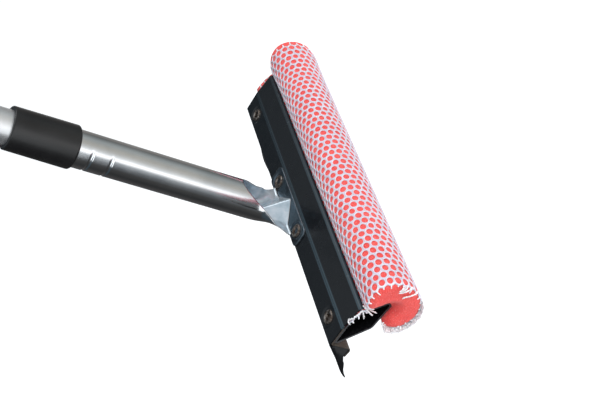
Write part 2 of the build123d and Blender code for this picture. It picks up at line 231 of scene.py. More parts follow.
def plate_lacquer():
    """Black stoving lacquer, with a painted blue-grey highlight along both bends, full at the near end and
    fainter towards the far end.
    """
    s = Shader("plate_lacquer")
    split = s.add("ShaderNodeSeparateXYZ", {"Vector": s.coords})
    along, across = split.outputs["X"], split.outputs["Y"]
    peel = s.noise(420, 2.0)
    dents = s.noise(38, 1.0)
    dust = s.noise(2600, 2.0, 0.7)
    colour = s.ramp(dust, [(0.50, (0.004, 0.005, 0.0065)), (0.74, (0.009, 0.011, 0.013)),
                           (0.80, (0.02, 0.023, 0.025))])
    # painted highlight: blue-grey bands along both bends, a quarter strength at the far end and full at the
    # near end
    highlight_nearness = s.span(along, 0.25, 1.0, -PLATE_SPAN, PLATE_SPAN)
    for bend, width in BEND_HIGHLIGHTS:
        offset = s.maths("ABSOLUTE", s.maths("SUBTRACT", across, (bend - NECK_W) * MM))
        share = s.maths("DIVIDE", offset, width * MM)
        line = s.ramp(share, [(0.0, (0.45,) * 3), (0.45, (1.0,) * 3), (1.0, (0.0,) * 3)])
        colour = s.mix(s.maths("MULTIPLY", line, highlight_nearness), colour, (0.042, 0.066, 0.082))
    rough = s.span(s.noise(160, 4.0), 0.16, 0.30)
    normal = s.bump(peel, 0.00010, 0.35)
    normal = s.bump(dents, 0.0008, 0.30, normal)
    return s.finish(Base_Color=colour, Roughness=rough, Normal=normal, Specular_IOR_Level=0.28,
                    Coat_Weight=0.12, Coat_Roughness=0.12)


def holder_steel():
    s = Shader("holder_steel")
    roll = s.noise(60, 4.0, 0.6, s.stretched((0.25, 6.0, 6.0)))
    blotch = s.noise(90, 4.0, 0.65)
    colour = s.ramp(blotch, [(0.3, (0.16, 0.125, 0.10)), (0.55, (0.24, 0.20, 0.17)),
                             (0.75, (0.34, 0.30, 0.27))])
    return s.finish(Base_Color=colour, Metallic=0.85, Roughness=s.span(roll, 0.34, 0.52),
                    Normal=s.bump(roll, 0.00005, 0.6))


def blade_rubber():
    s = Shader("blade_rubber")
    skin = s.noise(900, 3.0)
    bloom = s.noise(45, 4.0, 0.6)
    colour = s.ramp(bloom, [(0.35, (0.004, 0.004, 0.0045)), (0.7, (0.011, 0.012, 0.013))])
    # painted highlight: the rubber's outer edges are painted a lighter blue-grey
    colour = s.mix(s.edge_wear_and_painted_light(0.55, 0.66), colour, (0.03, 0.034, 0.036))
    normal = s.bump(skin, 0.00004, 0.5)
    normal = s.bump(s.noise(160, 3.0, 0.5, s.stretched((0.3, 1.0, 1.0))), 0.0002, 0.35, normal)
    return s.finish(Base_Color=colour, Roughness=s.span(bloom, 0.30, 0.46), Normal=normal,
                    Specular_IOR_Level=0.25)


def bar_black():
    s = Shader("bar_black")
    drawn = s.noise(30, 3.0, 0.5, s.stretched((0.15, 8.0, 8.0)))
    scuff = s.noise(700, 4.0, 0.7)
    colour = s.ramp(scuff, [(0.5, (0.005, 0.005, 0.006)), (0.8, (0.022, 0.022, 0.024))])
    along = s.add("ShaderNodeSeparateXYZ", {"Vector": s.coords}).outputs["X"]
    # painted highlight: the sawn end face past BAR_CUT_X is painted a lighter grey
    cut = s.maths("GREATER_THAN", along, BAR_CUT_X * MM)
    colour = s.mix(cut, colour, (0.055, 0.055, 0.058))
    return s.finish(Base_Color=colour, Roughness=s.span(drawn, 0.16, 0.27),
                    Normal=s.bump(drawn, 0.00006, 0.5))


def sponge_foam():
    s = Shader("sponge_foam")
    pores = s.cells(1500)
    fine = s.noise(3200, 3.0, 0.7)
    blotch = s.noise(140, 3.0, 0.6)
    specks = s.cells(1150)
    tint = s.ramp(blotch, [(0.3, (0.84, 0.075, 0.068)), (0.7, (0.96, 0.115, 0.10))])
    pale = s.ramp(specks, [(0.10, (1.0, 0.55, 0.50)), (0.22, (0.95, 0.12, 0.105))])
    share = s.span(specks, 0.85, 0.0, 0.12, 0.24)
    colour = s.mix(share, tint, pale)
    # painted shade: the pore hollows, pressed in by the bump below, are darkened to a deep red
    colour = s.mix(s.span(pores, 0.0, 0.4, 0.30, 0.62), colour, (0.66, 0.035, 0.035))
    height = s.maths("ADD", s.maths("MULTIPLY", pores, -1.0), s.maths("MULTIPLY", fine, 0.7))
    return s.finish(Base_Color=colour, Roughness=0.92, Normal=s.bump(height, 0.00035, 0.8),
                    Subsurface_Weight=0.25, Subsurface_Radius=(1.0, 0.25, 0.2), Subsurface_Scale=0.0015,
                    Sheen_Weight=0.25, Sheen_Roughness=0.6, Sheen_Tint=(1.0, 0.62, 0.58))


def net_yarn():
    s = Shader("net_yarn")
    ply = s.noise(1600, 3.0, 0.6, s.stretched((1.0, 0.35, 0.35)))
    grime = s.noise(120, 3.0, 0.6)
    colour = s.ramp(grime, [(0.3, (0.60, 0.56, 0.66)), (0.7, (0.74, 0.71, 0.80))])
    # painted shade: the yarn's hollows, where pointiness is low, are darkened
    colour = s.mix(s.edge_wear_and_painted_light(0.47, 0.57), (0.44, 0.39, 0.50), colour)
    # painted highlight: the yarn's crests, where pointiness is high, are whitened
    colour = s.mix(s.edge_wear_and_painted_light(0.56, 0.66), colour, (0.95, 0.94, 0.97))
    return s.finish(Base_Color=colour, Roughness=s.span(ply, 0.34, 0.55), Normal=s.bump(ply, 0.00012, 0.6),
                    Subsurface_Weight=0.35, Subsurface_Radius=(1.0, 0.6, 0.65), Subsurface_Scale=0.0008,
                    Sheen_Weight=0.2, Sheen_Roughness=0.4)


def pulled_yarn():
    """The same white yarn where it is gathered or pulled loose, without the painted shade in its hollows and
    the painted highlights on its crests.
    """
    s = Shader("pulled_yarn")
    ply = s.noise(1600, 3.0, 0.6, s.stretched((0.35, 1.0, 1.0)))
    tone = s.noise(700, 2.0, 0.6)
    colour = s.ramp(tone, [(0.35, (0.62, 0.61, 0.62)), (0.6, (0.95, 0.94, 0.96))])
    return s.finish(Base_Color=colour, Roughness=0.5, Normal=s.bump(ply, 0.00012, 0.6),
                    Subsurface_Weight=0.3, Subsurface_Radius=(1.0, 0.9, 0.9), Subsurface_Scale=0.0006)


def rivet_steel():
    s = Shader("rivet_steel")
    stain = s.noise(900, 4.0, 0.65)
    colour = s.ramp(stain, [(0.35, (0.06, 0.035, 0.025)), (0.52, (0.15, 0.12, 0.10)),
                            (0.72, (0.42, 0.41, 0.39))])
    return s.finish(Base_Color=colour, Metallic=0.95, Roughness=s.span(stain, 0.22, 0.42),
                    Normal=s.bump(stain, 0.00008, 0.6))


def neck_inside():
    """Zinc plating with a bluish passivated film, inside the scoop and on the foot."""
    s = Shader("neck_inside")
    film = s.noise(110, 4.0, 0.6)
    spangle = s.noise(700, 3.0, 0.6)
    colour = s.ramp(film, [(0.3, (0.44, 0.55, 0.62)), (0.5, (0.62, 0.71, 0.78)), (0.7, (0.78, 0.83, 0.88))])
    colour = s.mix(s.edge_wear_and_painted_light(0.52, 0.60), colour, (0.86, 0.88, 0.90))
    normal = s.bump(film, 0.0004, 0.35)
    return s.finish(Base_Color=colour, Metallic=0.6, Roughness=s.span(spangle, 0.12, 0.26), Normal=normal)


def foot_plating():
    """The foot's ears: the same plating, darkened, with its cut edge bright."""
    s = Shader("foot_plating")
    film = s.noise(70, 3.0, 0.6)
    colour = s.ramp(film, [(0.35, (0.035, 0.035, 0.042)), (0.6, (0.11, 0.15, 0.18))])
    colour = s.mix(s.edge_wear_and_painted_light(0.53, 0.60), colour, (0.70, 0.76, 0.80))
    return s.finish(Base_Color=colour, Metallic=0.9, Roughness=0.2, Normal=s.bump(film, 0.0004, 0.35))


def neck_chrome():
    s = Shader("neck_chrome")
    drawn = s.noise(260, 4.0, 0.6, s.stretched((1.0, 1.0, 0.035)))
    haze = s.noise(45, 4.0, 0.6)
    pits = s.noise(2200, 2.0, 0.6)
    colour = s.ramp(haze, [(0.3, (0.66, 0.68, 0.70)), (0.7, (0.80, 0.81, 0.82))])
    colour = s.mix(s.span(pits, 0.0, 0.5, 0.62, 0.75), colour, (0.40, 0.38, 0.35))
    rough = s.maths("ADD", s.span(drawn, 0.06, 0.17), s.span(haze, 0.0, 0.06))
    normal = s.bump(drawn, 0.00012, 0.35)
    normal = s.bump(s.noise(85, 2.0), 0.0003, 0.22, normal)
    return s.finish(Base_Color=colour, Metallic=1.0, Roughness=rough, Normal=normal)


def pole_aluminium():
    s = Shader("pole_aluminium")
    drawn = s.noise(420, 4.0, 0.6, s.stretched((1.0, 1.0, 0.02)))
    haze = s.noise(60, 3.0, 0.6)
    colour = s.ramp(haze, [(0.3, (0.76, 0.77, 0.78)), (0.7, (0.86, 0.87, 0.88))])
    return s.finish(Base_Color=colour, Metallic=0.9, Roughness=s.span(drawn, 0.30, 0.46),
                    Normal=s.bump(drawn, 0.00005, 0.5))


def moulded(name, low, high, rough_low, rough_high, grain=1200, depth=0.00006):
    """A moulded plastic or rubber with fine spark-eroded grain and a faint tone drift."""
    s = Shader(name)
    texture = s.noise(grain, 3.0, 0.6)
    drift = s.noise(55, 3.0, 0.5)
    colour = s.ramp(drift, [(0.3, low), (0.7, high)])
    rough = s.span(drift, rough_low, rough_high)
    return s.finish(Base_Color=colour, Roughness=rough, Normal=s.bump(texture, depth, 0.6))


MOULDED = {
    "collar_black": ((0.006, 0.006, 0.0065), (0.011, 0.011, 0.0115), 0.30, 0.38),
    "bush_nylon": ((0.72, 0.70, 0.64), (0.80, 0.79, 0.74), 0.4, 0.55),
    "lock_nylon": ((0.66, 0.64, 0.58), (0.76, 0.74, 0.69), 0.4, 0.55),
    "ring_acetal": ((0.05, 0.05, 0.05), (0.09, 0.09, 0.09), 0.3, 0.42),
    "grip_rubber": ((0.013, 0.013, 0.013), (0.022, 0.022, 0.022), 0.6, 0.75, 800, 0.00012),
    "cap_black": ((0.014, 0.014, 0.014), (0.024, 0.024, 0.024), 0.4, 0.52),
}
SHADERS = (plate_lacquer, holder_steel, blade_rubber, bar_black, sponge_foam, net_yarn, pulled_yarn,
           rivet_steel, neck_chrome, neck_inside, foot_plating, pole_aluminium)
MATERIALS = {build.__name__: build() for build in SHADERS}
MATERIALS.update({name: moulded(name, *look) for name, look in MOULDED.items()})

FINISH_NODES = {
    "plate_lacquer": "top_plate",
    "holder_steel": "blade_holder",
    "blade_rubber": "rubber_blade",
    "bar_black": "sponge_bar",
    "sponge_foam": "sponge_roll",
    "net_yarn": "sponge_net",
    "neck_chrome": "neck_tube",
    "bush_nylon": "guide_bush",
    "collar_black": "collar",
    "pole_aluminium": "pole_tube",
    "lock_nylon": "lock_core",
    "ring_acetal": "lock_ring",
    "grip_rubber": "grip",
    "cap_black": "end_cap",
    "rivet_steel": "core_pin lock_washer lock_screw "
                   "end_rivet_far end_rivet_near foot_rivet_far foot_rivet_near",
}


def dress_nodes():
    """Gives each CAD node its finish."""
    for finish, names in FINISH_NODES.items():
        for name in names.split():
            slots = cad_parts[name].data.materials
            if not slots:
                slots.append(MATERIALS[finish])
            for i in range(len(slots)):
                slots[i] = MATERIALS[finish]


# ---------------------------------------------------------------- mesh helpers

def add_piece(name, verts, faces, finish, merge=0.0):
    """A new mesh piece, in metres in the row frame, riding on the head."""
    mesh = bpy.data.meshes.new(name)
    mesh.from_pydata([tuple(v) for v in verts], [], faces)
    if merge > 0:
        bm = bmesh.new()
        bm.from_mesh(mesh)
        bmesh.ops.remove_doubles(bm, verts=bm.verts, dist=merge)
        bm.to_mesh(mesh)
        bm.free()
    mesh.update()
    for polygon in mesh.polygons:
        polygon.use_smooth = True
    piece = bpy.data.objects.new(name, mesh)
    bpy.context.scene.collection.objects.link(piece)
    mesh.materials.append(MATERIALS[finish])
    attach(piece, "head")
    return piece


def skin(count, stations, inwards=False):
    """Faces of a closed tube of rings, count points each, capped at both ends."""
    faces = []
    for i in range(stations - 1):
        a, b = i * count, (i + 1) * count
        for k in range(count):
            m = (k + 1) % count
            faces.append((a + k, b + k, b + m, a + m) if inwards else (a + k, a + m, b + m, b + k))
    first = tuple(range(count))
    last = tuple((stations - 1) * count + k for k in range(count))
    return faces + ([first, last[::-1]] if inwards else [first[::-1], last])


# ---------------------------------------------------------------- sponge and net

PLATE_HALF = node_span("top_plate")[1][0]


def oval_axes():
    """Half axes of the sponge's oval, from the CAD roll's box and the oval's tilt."""
    low, high = node_span("sponge_net")
    half_w, half_n = (high[1] - low[1]) / 2, (high[2] - low[2]) / 2
    c, s = (f(math.radians(SPONGE_TILT)) ** 2 for f in (math.cos, math.sin))
    long_axis = math.sqrt((half_n ** 2 * s - half_w ** 2 * c) / (s * s - c * c))
    short_axis = math.sqrt((half_w ** 2 * s - half_n ** 2 * c) / (s * s - c * c))
    return long_axis - CAD_NET_T, short_axis - CAD_NET_T


FOAM_A, FOAM_B = oval_axes()
FOAM_HALF = node_span("sponge_roll")[1][0]


def oval_point(angle):
    """A (w, n) point of the foam's oval, at an angle in degrees from its long axis."""
    tilt, a = math.radians(SPONGE_TILT), math.radians(angle)
    u, v = FOAM_A * math.cos(a), FOAM_B * math.sin(a)
    return (SPONGE_W + u * math.cos(tilt) - v * math.sin(tilt),
            SPONGE_N + u * math.sin(tilt) + v * math.cos(tilt))


def even_steps(points, step):
    """Points at even steps along a line of points."""
    points = np.array(points, float)
    lengths = np.concatenate([[0], np.cumsum(np.linalg.norm(np.diff(points, axis=0), axis=1))])
    marks = np.linspace(0, lengths[-1], int(lengths[-1] / step) + 1)
    return np.stack([np.interp(marks, lengths, points[:, i]) for i in range(points.shape[1])], 1)


class SleevePath:
    """The net's section: a flap between plate and bar, then once round the foam to the bar's underside."""

    STEP = 0.1

    def __init__(self):
        oval = [oval_point(a) for a in np.linspace(*OVAL_SPAN, 300)]
        line = even_steps(FLAP_LINE + oval, self.STEP)
        kernel = np.ones(13) / 13
        inner = np.stack([np.convolve(line[:, i], kernel, mode="valid") for i in (0, 1)], 1)
        line = np.concatenate([line[:6], inner, line[-6:]])
        self.line = even_steps(line, self.STEP)
        self.length = self.STEP * (len(self.line) - 1)
        to_flap_end = np.linalg.norm(self.line - np.array(FLAP_LINE[-1]), axis=1)
        self.flap_end = float(np.argmin(to_flap_end) * self.STEP)
        slope = np.gradient(self.line, axis=0)
        slope /= np.linalg.norm(slope, axis=1)[:, None]
        self.normal = np.stack([-slope[:, 1], slope[:, 0]], 1)

    def at(self, s):
        """The (w, n) point and outward normal at a length along the section."""
        i = np.clip(np.asarray(s, float) / self.STEP, 0, len(self.line) - 1.001)
        k = np.floor(i).astype(int)
        f = (i - k)[..., None]
        point = self.line[k] * (1 - f) + self.line[k + 1] * f
        normal = self.normal[k] * (1 - f) + self.normal[k + 1] * f
        return point, normal / np.linalg.norm(normal, axis=-1)[..., None]

    def nearest(self, w, n):
        """The length along the section nearest to each (w, n) point, and its distance."""
        best = np.zeros(len(w))
        gap = np.zeros(len(w))
        for start in range(0, len(w), 4000):
            block = slice(start, start + 4000)
            d = (w[block, None] - self.line[None, :, 0]) ** 2 + (n[block, None] - self.line[None, :, 1]) ** 2
            best[block] = np.argmin(d, axis=1) * self.STEP
            gap[block] = np.sqrt(np.min(d, axis=1))
        return best, gap


def smooth(value, low, high):
    """0 below low, 1 above high, with an easy slope between."""
    t = np.clip((np.asarray(value, float) - low) / (high - low), 0, 1)
    return t * t * (3 - 2 * t)


def ripple(x, s, seed):
    """Slow random waves over the sleeve, between about -1 and 1."""
    rng = random.Random(seed)
    total = 0.0
    for _ in range(6):
        along, across, phase = rng.uniform(0.02, 0.09), rng.uniform(0.05, 0.25), rng.uniform(0, 6.28)
        total = total + np.sin(along * x + across * s + phase)
    return total / 3.5


def bar_gap(w, n):
    """Distances in millimetres from (w, n) points to the hollow bar's wall."""
    tree = BVHTree.FromObject(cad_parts["sponge_bar"], bpy.context.evaluated_depsgraph_get())
    section_x = 0.5 * PLATE_HALF
    return np.array([tree.find_nearest(row_point(section_x, a, b))[3] for a, b in zip(w, n)]) / MM


def near_face(w, n):
    """How far the foam reaches past mid-length at the near end: it is dished round the bar."""
    above = DISH_UNDER + (1 - DISH_UNDER) * smooth(n, -20.0, -15.0) * smooth(-w, -46.0, -SPONGE_W)
    return FOAM_HALF - DISH_DEPTH * above * (1 - smooth(bar_gap(w, n), -1.0, DISH_WIDTH))


def swell(points):
    """Head-frame points moved outwards and along, more and more towards the far end."""
    share = smooth(-points[:, 0], SWELL_FROM, FOAM_HALF - FOAM_EDGE)
    share = share * smooth(points[:, 2], -2 * FOAM_A, -FOAM_B)
    across = points[:, 1:] - np.array([SPONGE_W, SPONGE_N])
    lengths = np.maximum(np.linalg.norm(across, axis=1), 1.0)
    on_roll = smooth(lengths, 0.0, FOAM_B / 2) * smooth(-lengths, -FOAM_A - 6, -FOAM_A - 2)
    moved = points.copy()
    moved[:, 0] -= SWELL_LONG * share * smooth(-points[:, 0], SWELL_FROM, FOAM_HALF)
    moved[:, 1:] += across / lengths[:, None] * (SWELL_OUT * share * on_roll)[:, None]
    past_bar = smooth(points[:, 0], *LOBE_X) * smooth(-points[:, 2], *LOBE_N)
    past_bar = past_bar * smooth(-points[:, 1], *LOBE_W)
    moved[:, 1] -= LOBE_OUT * past_bar
    return moved


class Sleeve:
    """Maps (s, x, height) on the net's flat pattern to its place round the foam."""

    def __init__(self, path):
        self.path = path
        self.face = near_face(path.line[:, 0], path.line[:, 1])
        self.marks = path.STEP * np.arange(len(path.line))

    def end(self, s, x):
        """Length of the straight part of the foam's skin towards x, before its rounded edge."""
        near = np.interp(s, self.marks, self.face)
        return np.where(x > 0, near, FOAM_HALF) - FOAM_EDGE

    def place(self, s, x, h):
        s, x, h = (np.asarray(v, float) for v in (s, x, h))
        x = x + WAVE_X[0] * ripple(x, s, WAVE_X[1])
        s = s + WAVE_S[0] * ripple(s, x, WAVE_S[1])
        flap = 1 - smooth(s, self.path.flap_end - 1, self.path.flap_end + 1)
        straight = self.end(s, x)
        over = np.clip(np.abs(x) - straight, 0, None)
        turn = np.clip(over / FOAM_EDGE, 0, math.pi / 2)
        flat = np.clip(over - FOAM_EDGE * math.pi / 2, 0, None)
        wrapped_x = np.minimum(np.abs(x), straight) + (FOAM_EDGE + h) * np.sin(turn)
        wrapped_h = (FOAM_EDGE + h) * np.cos(turn) - FOAM_EDGE - flat
        along = np.where(over > 0, wrapped_x * (1 - flap) + np.abs(x) * flap, np.abs(x)) * np.sign(x)
        out = np.where(over > 0, wrapped_h * (1 - flap) + h * flap, h)
        point, normal = self.path.at(s)
        spot = point + normal * out[..., None]
        return swell(np.stack([along, spot[..., 0], spot[..., 1]], -1))


def to_row(points):
    """Head-frame millimetre points as row-frame metre points."""
    points = np.asarray(points, float)
    return np.stack([points[:, 0] * MM, (points[:, 1] - NECK_W) * MM, FLANGE_Z + points[:, 2] * MM], 1)


def to_head(co):
    """Row-frame metre points as head-frame millimetre points."""
    return np.stack([co[:, 0] / MM, co[:, 1] / MM + NECK_W, (co[:, 2] - FLANGE_Z) / MM], 1)


def hexagon(per_side):
    """Points round a net cell, corner by corner, about its centre as (s, x)."""
    shoulder = (NET_ROW ** 2 - (NET_PITCH / 2) ** 2) / (2 * NET_ROW)
    peak = (NET_ROW ** 2 + (NET_PITCH / 2) ** 2) / (2 * NET_ROW)
    half = NET_PITCH / 2
    corners = [(half, -shoulder), (half, shoulder), (0, peak),
               (-half, shoulder), (-half, -shoulder), (0, -peak)]
    points = []
    for i in range(6):
        a, b = np.array(corners[i]), np.array(corners[(i + 1) % 6])
        points += [a + (b - a) * k / per_side for k in range(per_side)]
    return np.array(points)


def cell_centres(sleeve):
    """Centres of the net's whole cells, row by row, as (s, x)."""
    first = -(FOAM_HALF - 3.9)
    rows = int((2 * FOAM_HALF - 3.9) / NET_ROW) + 1
    margin = NET_PITCH / 2 + YARN_HALF + 0.55
    found = []
    for j in range(rows):
        x = first + j * NET_ROW
        shift = NET_PITCH / 2 * ROW_SHIFT[j % 2]
        s = shift + NET_PITCH * (shift < margin)
        while s < sleeve.path.length - margin:
            in_flap = s < sleeve.path.flap_end + 0.5
            limit = FLAP_NEAR if in_flap else sleeve.end(s, x) + NET_PAST_EDGE
            if FLAP_FAR <= x <= limit:
                found.append((s, x))
            s += NET_PITCH
    return found


def build_net(sleeve, centres):
    """The knitted sleeve: two-ply yarns round every hole, with cut stubs at both ends."""
    rng = random.Random(11)
    cell = hexagon(3)
    count = len(cell)
    angle = np.arctan2(cell[:, 1], cell[:, 0])
    patch = {"s": [], "x": [], "h": []}
    faces = []

    def vertices(s, x, h):
        start = len(patch["s"])
        patch["s"] += list(s)
        patch["x"] += list(x)
        patch["h"] += list(h)
        return start

    keys = set()
    outward = {}
    for s, x in centres:
        keys.add((round(s, 1), round(x, 1)))
        for ds, dx in cell:
            key = (round(s + ds, 1), round(x + dx, 1))
            outward[key] = outward.get(key, Vector((0, 0))) + Vector((ds, dx)).normalized()
    tips = []
    for s, x in centres:
        wide = HOLE_HALF_S * rng.uniform(*HOLE_VARY)
        tall = HOLE_HALF_X * rng.uniform(*HOLE_VARY)
        lean = rng.uniform(-HOLE_LEAN, HOLE_LEAN)
        rim_s = wide * np.cos(angle) + lean * np.sin(angle)
        rim_x = tall * np.sin(angle)
        mid_s, mid_x = rim_s * 0.55 + cell[:, 0] * 0.45, rim_x * 0.55 + cell[:, 1] * 0.45
        rim = vertices(s + rim_s, x + rim_x, np.full(count, RIM_H))
        mid = vertices(s + mid_s, x + mid_x, np.full(count, YARN_H))
        top = vertices(s + cell[:, 0], x + cell[:, 1], np.full(count, JOINT_SHARE * YARN_H))
        base = vertices(s + cell[:, 0], x + cell[:, 1], np.full(count, 0.0))
        for k in range(count):
            m = (k + 1) % count
            faces.append((rim + k, rim + m, mid + m, mid + k))
            faces.append((mid + k, mid + m, top + m, top + k))
            faces.append((base + k, base + m, rim + m, rim + k))
        steps = [(NET_PITCH, 0), (NET_PITCH / 2, NET_ROW), (-NET_PITCH / 2, NET_ROW), (-NET_PITCH, 0),
                 (-NET_PITCH / 2, -NET_ROW), (NET_PITCH / 2, -NET_ROW)]
        for side, (ds, dx) in enumerate(steps):
            if (round(s + ds, 1), round(x + dx, 1)) in keys:
                continue
            ring = [(side * 3 + k) % count for k in range(4)]
            pushes = [outward[(round(s + cell[k, 0], 1), round(x + cell[k, 1], 1))].normalized()
                      for k in ring]
            edge = vertices([s + cell[k, 0] + YARN_HALF * p.x for k, p in zip(ring, pushes)],
                            [x + cell[k, 1] + YARN_HALF * p.y for k, p in zip(ring, pushes)], [EDGE_H] * 4)
            for i in range(3):
                k, m = ring[i], ring[i + 1]
                faces.append((top + k, top + m, edge + i + 1, edge + i))
                faces.append((edge + i, edge + i + 1, base + m, base + k))
        for direction in (1, -1):
            neighbours = [(round(s + t * NET_PITCH / 2, 1), round(x + direction * NET_ROW, 1))
                          for t in (-1, 1)]
            if not any(k in keys for k in neighbours):
                tips.append((s, x + direction * max(cell[:, 1]), direction))
    for s, x, direction in tips:
        reach = rng.uniform(1.2, 2.9)
        sway = rng.uniform(-0.5, 0.5)
        stations = 5
        rings = []
        for i in range(stations):
            t = i / (stations - 1)
            half = YARN_HALF * (1 - 0.25 * t) * rng.uniform(0.9, 1.1)
            lift = 0.15 * t * rng.uniform(0, 2)
            centre = s + sway * t * t
            rings.append(vertices([centre - half, centre - 0.4 * half, centre + 0.4 * half, centre + half],
                                  [x - direction * 0.5 + direction * reach * t] * 4,
                                  [RIM_H + lift, YARN_H + lift, YARN_H * 0.95 + lift, RIM_H + lift]))
        faces += [tuple(rings[0] + v for v in face) for face in skin(4, stations)]
    points = to_row(sleeve.place(patch["s"], patch["x"], patch["h"]))
    net = add_piece("net_sleeve", points, faces, "net_yarn", merge=0.00002)
    bm = bmesh.new()
    bm.from_mesh(net.data)
    bmesh.ops.recalc_face_normals(bm, faces=bm.faces)
    bm.to_mesh(net.data)
    bm.free()
    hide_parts("sponge_net")
    return net


def build_foam(sleeve, centres):
    """The foam roll: the CAD roll remeshed, pressed in under the yarns and puffed up in the net's holes."""
    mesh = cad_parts["sponge_roll"].data.copy()
    foam = bpy.data.objects.new("foam_roll", mesh)
    bpy.context.scene.collection.objects.link(foam)
    remesh = foam.modifiers.new("remesh", "REMESH")
    remesh.mode = "VOXEL"
    remesh.voxel_size = VOXEL * MM
    remesh.use_smooth_shade = True
    graph = bpy.context.evaluated_depsgraph_get()
    made = bpy.data.meshes.new_from_object(foam.evaluated_get(graph))
    foam.modifiers.clear()
    foam.data = made
    foam.data.name = "foam_roll"
    made.materials.clear()
    made.materials.append(MATERIALS["sponge_foam"])

    count = len(made.vertices)
    co = np.zeros(count * 3)
    normals = np.zeros(count * 3)
    made.vertices.foreach_get("co", co)
    made.vertex_normals.foreach_get("vector", normals)
    co, normals = co.reshape(-1, 3), normals.reshape(-1, 3)
    x, w, n = to_head(co).T
    s, gap = sleeve.path.nearest(w, n)
    face = near_face(w, n)
    soft_from = FOAM_HALF - SOFT_LENGTH
    drawn = (x - soft_from) * (face - soft_from) / (FOAM_HALF - soft_from) + soft_from - x
    squeeze = np.where(x > soft_from, drawn, 0)
    co[:, 0] += squeeze * MM
    x = x + squeeze
    straight = sleeve.end(s, x)
    over = np.clip(np.abs(x) - straight, 0, FOAM_EDGE)
    along = np.sign(x) * (np.minimum(np.abs(x), straight) + FOAM_EDGE * np.arcsin(over / FOAM_EDGE))
    along = along - WAVE_X[0] * ripple(along, s, WAVE_X[1])
    s_flat = s - WAVE_S[0] * ripple(s, along, WAVE_S[1])
    spots = np.array(centres)
    rows = np.unique(np.round(spots[:, 1], 3))
    near = np.full(count, 9.0)
    for j, row in enumerate(rows):
        shift = NET_PITCH / 2 * ROW_SHIFT[j % 2]
        ds = (s_flat - shift + NET_PITCH / 2) % NET_PITCH - NET_PITCH / 2
        reach = np.hypot(ds / PUFF_HALF[0], (along - row) / PUFF_HALF[1])
        near = np.minimum(near, reach)
    covered = (gap < COVER_GAP) & (s > sleeve.path.flap_end + 0.5)
    bulge = np.where(covered, PUFF * (1 - smooth(near, 0.25, 1.15)) - PRESS, 0.0)
    rng = np.random.default_rng(5)
    rough = rng.normal(0, 0.05, count)
    drift = 0.18 * ripple(1.3 * x, 1.7 * (w + n), 21)
    co = co + normals * ((bulge + rough + drift * 0.5)[:, None] * MM)
    co = to_row(swell(to_head(co)))
    made.vertices.foreach_set("co", co.ravel())
    made.update()
    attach(foam, "head")
    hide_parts("sponge_roll")


def build_tongue():
    """The foam's thin flap, pinched between the plate and the bar."""
    rng = random.Random(7)
    lower = [(12.9, -1.60), (16.5, -1.95), (20.0, -2.55), (23.0, -3.45), (25.4, -4.6), (27.5, -6.6)]
    upper = [(13.1, -0.95), (16.5, -1.45), (20.0, -2.0), (23.0, -2.75), (25.6, -3.7), (28.4, -5.0)]
    section = lower + upper[::-1]
    count = len(section)
    stations = 84
    points = []
    for i in range(stations):
        t = i / (stations - 1)
        x = TONGUE_FAR + (TONGUE_NEAR - TONGUE_FAR) * t
        pull = rng.uniform(-0.35, 0.35)
        for k, (w, n) in enumerate(section):
            edge = 1.0 if k in (0, count - 1) else 0.3
            end = 0.6 * rng.uniform(-1, 1) if i in (0, stations - 1) else 0.0
            points.append((x + end, w + pull * edge, n + rng.uniform(-0.03, 0.03)))
    tongue = add_piece("foam_flap", to_row(points), skin(count, stations), "sponge_foam")


def yarn_mesh(route, radius, seed):
    """Points and faces of a two-ply yarn along head-frame points."""
    line = even_steps(route, 0.25)
    for _ in range(6):
        line[1:-1] = 0.25 * line[:-2] + 0.5 * line[1:-1] + 0.25 * line[2:]
    rng = random.Random(seed)
    points = []
    sides = 8
    count = len(line)
    for i in range(count):
        ahead = line[min(i + 1, count - 1)] - line[max(i - 1, 0)]
        ahead = Vector(ahead).normalized()
        side = ahead.cross(Vector((0.3, 0.2, 1.0))).normalized()
        over = side.cross(ahead)
        twist = i * 0.55
        thick = radius * (1 - 0.35 * (i > count - 4)) * rng.uniform(0.93, 1.07)
        for k in range(sides):
            a = 2 * math.pi * k / sides
            r = thick * (1 + 0.28 * math.cos(2 * (a - twist)))
            spot = Vector(line[i]) + side * (r * math.cos(a)) + over * (r * math.sin(a))
            points.append(tuple(spot))
    return points, skin(sides, count)


def build_hem(sleeve):
    """The net's gathered hem: yarns bunched side by side over the foam's lower near edge."""
    rng = random.Random(41)
    points, faces = [], []
    last = sleeve.path.length

    def fall_at(t):
        return HEM_THIN + HEM_FULL * float(smooth(t, 0.1, 0.6))

    def add_yarn(route, radius, seed):
        more, more_faces = yarn_mesh(swell(np.array(route)), radius, seed)
        faces.extend(tuple(len(points) + v for v in face) for face in more_faces)
        points.extend(more)

    for i in range(HEM_YARNS):
        t = i / (HEM_YARNS - 1)
        s = HEM_FROM_S + (last - HEM_FROM_S) * t
        lift = rng.uniform(0.1, 1.0) * fall_at(t)
        route = []
        for k in range(5):
            share = k / 4
            x = HEM_X[0] + (HEM_X[1] + rng.uniform(-1.2, 0.4) - HEM_X[0]) * share
            spot, normal = sleeve.path.at(min(last, s + rng.uniform(-0.7, 0.7)))
            out = 0.2 + lift * share ** 2 + rng.uniform(-0.15, 0.15)
            route.append((x, *(spot + normal * out)))
        add_yarn(route, rng.uniform(0.26, 0.40), i)
    for i in range(4):
        route = []
        for s in np.arange(HEM_FROM_S + 4 * i, last - 0.5 * i, 2.0):
            spot, normal = sleeve.path.at(s)
            fall = fall_at((s - HEM_FROM_S) / (last - HEM_FROM_S))
            out = 0.3 + fall * (0.55 + 0.15 * i) + rng.uniform(-0.2, 0.2)
            route.append((HEM_X[1] - 0.3 - 0.5 * i + rng.uniform(-0.4, 0.3), *(spot + normal * out)))
        add_yarn(route, HEM_BINDING_R, 70 + i)
    add_piece("net_hem", to_row(points), faces, "pulled_yarn")


